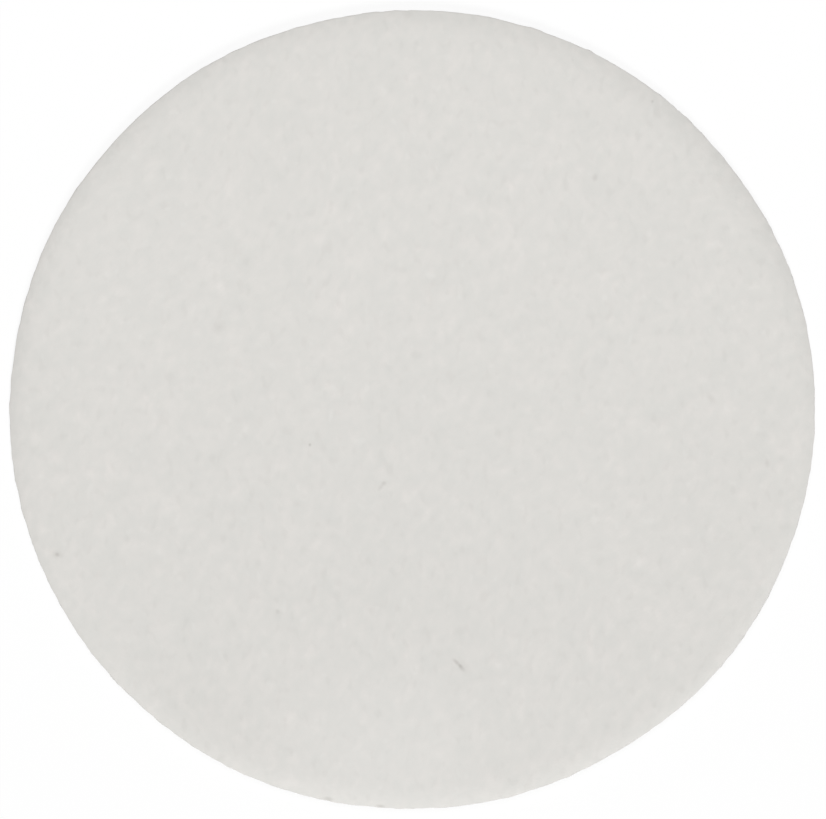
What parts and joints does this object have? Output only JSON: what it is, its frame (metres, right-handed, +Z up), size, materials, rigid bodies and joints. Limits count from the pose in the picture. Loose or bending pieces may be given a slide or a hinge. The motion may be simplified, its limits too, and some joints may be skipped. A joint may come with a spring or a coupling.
{
  "type": "filter paper disc",
  "caption": "Flat round disc of thick, soft, off-white filter paper with a punched rim; it lies in a funnel or filter holder and strains solids out of a liquid.",
  "frame": {"origin": "centre of the underside, on the surface that the disc lies on", "axes": "+Z up through the sheet, from the underside to the upper face whose rim is rolled; X and Y lie in the sheet, +Y along its grain"},
  "size_m": [0.047, 0.047, 0.0009],
  "materials": {
    "filter_paper": "matte, uncoated cellulose fibre"
  },
  "bodies": {
    "root": {"filter_paper_disc": "filter_paper"}
  },
  "joints": []
}
